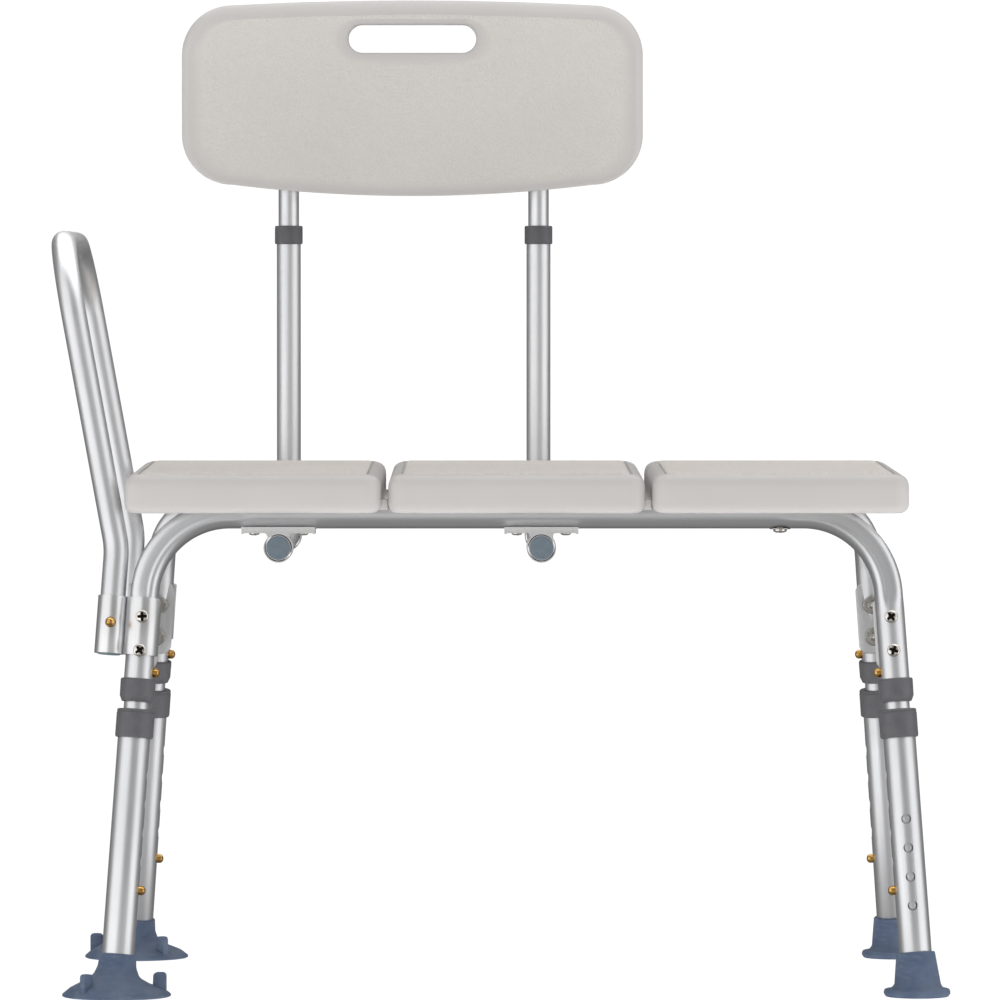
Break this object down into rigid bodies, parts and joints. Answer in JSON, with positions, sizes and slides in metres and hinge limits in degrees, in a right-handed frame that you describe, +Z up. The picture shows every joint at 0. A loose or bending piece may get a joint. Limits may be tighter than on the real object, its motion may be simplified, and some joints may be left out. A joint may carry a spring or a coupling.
{
  "type": "bath transfer bench",
  "caption": "Bath transfer bench with a three-panel seat on splayed tubular frames, height-adjustable legs with suction and rubber feet, a side arm rail and a slotted backrest.",
  "frame": {"origin": "bottom centre of the bounding box, on the floor", "axes": "+Z up, -Y the front that the sitter faces, +X along the seat away from the arm rail"},
  "size_m": [0.7928, 0.5298, 0.8863],
  "materials": {
    "panel_plastic": "blow-moulded, fine pebble grain, warm off-white",
    "satin_aluminium": "satin anodised, drawn tube",
    "collar_plastic": "semi-gloss charcoal moulding",
    "foot_rubber": "matte slate-blue rubber with a dusty bloom",
    "cap_plastic": "matte blue-grey moulding",
    "button_brass": "passivated brass dome",
    "fastener_steel": "nickel-plated screws, nuts and washers"
  },
  "bodies": {
    "bench": {"seat_panel_left": "panel_plastic", "seat_panel_middle": "panel_plastic", "seat_panel_right": "panel_plastic", "front_frame": "satin_aluminium", "rear_frame": "satin_aluminium", "side_brace_left": "satin_aluminium", "side_brace_right": "satin_aluminium", "arm_rail": "satin_aluminium", "arm_bracket_front": "satin_aluminium", "arm_bracket_rear": "satin_aluminium", "arm_plug_front": "cap_plastic", "arm_plug_rear": "cap_plastic", "back_bracket_front_left": "satin_aluminium", "back_bracket_front_right": "satin_aluminium", "back_bracket_rear_left": "satin_aluminium", "back_bracket_rear_right": "satin_aluminium", "inner_leg_front_left": "satin_aluminium", "frame_collar_front_left": "collar_plastic", "inner_leg_front_right": "satin_aluminium", "frame_collar_front_right": "collar_plastic", "inner_leg_rear_left": "satin_aluminium", "frame_collar_rear_left": "collar_plastic", "inner_leg_rear_right": "satin_aluminium", "frame_collar_rear_right": "collar_plastic"},
    "leg_front_left": {"lower_leg_front_left": "satin_aluminium", "leg_collar_front_left": "collar_plastic", "suction_foot_front_left": "foot_rubber"},
    "leg_front_right": {"lower_leg_front_right": "satin_aluminium", "leg_collar_front_right": "collar_plastic", "rubber_tip_front_right": "foot_rubber"},
    "leg_rear_left": {"lower_leg_rear_left": "satin_aluminium", "leg_collar_rear_left": "collar_plastic", "suction_foot_rear_left": "foot_rubber"},
    "leg_rear_right": {"lower_leg_rear_right": "satin_aluminium", "leg_collar_rear_right": "collar_plastic", "rubber_tip_rear_right": "foot_rubber"},
    "height_button_front_left": {"height_button_front_left": "button_brass"},
    "release_button_front_left": {"release_button_front_left": "button_brass"},
    "height_button_front_right": {"height_button_front_right": "button_brass"},
    "release_button_front_right": {"release_button_front_right": "button_brass"},
    "height_button_rear_left": {"height_button_rear_left": "button_brass"},
    "release_button_rear_left": {"release_button_rear_left": "button_brass"},
    "height_button_rear_right": {"height_button_rear_right": "button_brass"},
    "release_button_rear_right": {"release_button_rear_right": "button_brass"},
    "arm_button_front": {"arm_button_front": "button_brass"},
    "arm_button_rear": {"arm_button_rear": "button_brass"},
    "backrest": {"back_panel": "panel_plastic", "back_tube_left": "satin_aluminium", "back_upper_tube_left": "satin_aluminium", "back_collar_left": "collar_plastic", "back_end_cap_left": "cap_plastic", "back_tube_right": "satin_aluminium", "back_upper_tube_right": "satin_aluminium", "back_collar_right": "collar_plastic", "back_end_cap_right": "cap_plastic"},
    "back_button_left": {"back_button_left": "button_brass"},
    "back_button_right": {"back_button_right": "button_brass"}
  },
  "joints": [
    {"name": "height_front_left", "type": "slide", "parent": "bench", "child": "leg_front_left", "axis": [-0.0704, -0.1071, -0.9918], "range_m": [0, 0.1016], "deforming": ["height_button_front_left"]},
    {"name": "height_front_right", "type": "slide", "parent": "bench", "child": "leg_front_right", "axis": [0.0704, -0.1071, -0.9918], "range_m": [0, 0.1016], "deforming": ["height_button_front_right"]},
    {"name": "height_rear_left", "type": "slide", "parent": "bench", "child": "leg_rear_left", "axis": [-0.0704, 0.1071, -0.9918], "range_m": [0, 0.1016], "deforming": ["height_button_rear_left"]},
    {"name": "height_rear_right", "type": "slide", "parent": "bench", "child": "leg_rear_right", "axis": [0.0704, 0.1071, -0.9918], "range_m": [0, 0.1016], "deforming": ["height_button_rear_right"]},
    {"name": "press_height_front_left", "type": "slide", "parent": "bench", "child": "height_button_front_left", "axis": [-0.9975, 0.0076, 0.07], "range_m": [0, 0.0075], "stiffness_N_per_m": 900, "deforming": ["height_button_front_left"]},
    {"name": "press_release_front_left", "type": "slide", "parent": "bench", "child": "release_button_front_left", "axis": [-0.9975, 0.0076, 0.07], "range_m": [0, 0.007], "stiffness_N_per_m": 900, "deforming": ["release_button_front_left"]},
    {"name": "press_height_front_right", "type": "slide", "parent": "bench", "child": "height_button_front_right", "axis": [0.9975, 0.0076, 0.07], "range_m": [0, 0.0075], "stiffness_N_per_m": 900, "deforming": ["height_button_front_right"]},
    {"name": "press_release_front_right", "type": "slide", "parent": "bench", "child": "release_button_front_right", "axis": [0.9975, 0.0076, 0.07], "range_m": [0, 0.007], "stiffness_N_per_m": 900, "deforming": ["release_button_front_right"]},
    {"name": "press_height_rear_left", "type": "slide", "parent": "bench", "child": "height_button_rear_left", "axis": [-0.9975, -0.0076, 0.07], "range_m": [0, 0.0075], "stiffness_N_per_m": 900, "deforming": ["height_button_rear_left"]},
    {"name": "press_release_rear_left", "type": "slide", "parent": "bench", "child": "release_button_rear_left", "axis": [-0.9975, -0.0076, 0.07], "range_m": [0, 0.007], "stiffness_N_per_m": 900, "deforming": ["release_button_rear_left"]},
    {"name": "press_height_rear_right", "type": "slide", "parent": "bench", "child": "height_button_rear_right", "axis": [0.9975, -0.0076, 0.07], "range_m": [0, 0.0075], "stiffness_N_per_m": 900, "deforming": ["height_button_rear_right"]},
    {"name": "press_release_rear_right", "type": "slide", "parent": "bench", "child": "release_button_rear_right", "axis": [0.9975, -0.0076, 0.07], "range_m": [0, 0.007], "stiffness_N_per_m": 900, "deforming": ["release_button_rear_right"]},
    {"name": "press_arm_front", "type": "slide", "parent": "bench", "child": "arm_button_front", "axis": [0, 0.9942, -0.1074], "range_m": [0, 0.0085], "stiffness_N_per_m": 900, "deforming": ["arm_button_front"]},
    {"name": "press_arm_rear", "type": "slide", "parent": "bench", "child": "arm_button_rear", "axis": [0, -0.9942, -0.1074], "range_m": [0, 0.0085], "stiffness_N_per_m": 900, "deforming": ["arm_button_rear"]},
    {"name": "backrest_slide", "type": "slide", "parent": "bench", "child": "backrest", "axis": [0, 1, 0], "range_m": [0, 0.4]},
    {"name": "press_back_left", "type": "slide", "parent": "backrest", "child": "back_button_left", "axis": [0, -1, 0], "range_m": [0, 0.0072], "stiffness_N_per_m": 900, "deforming": ["back_button_left"]},
    {"name": "press_back_right", "type": "slide", "parent": "backrest", "child": "back_button_right", "axis": [0, -1, 0], "range_m": [0, 0.0072], "stiffness_N_per_m": 900, "deforming": ["back_button_right"]}
  ]
}
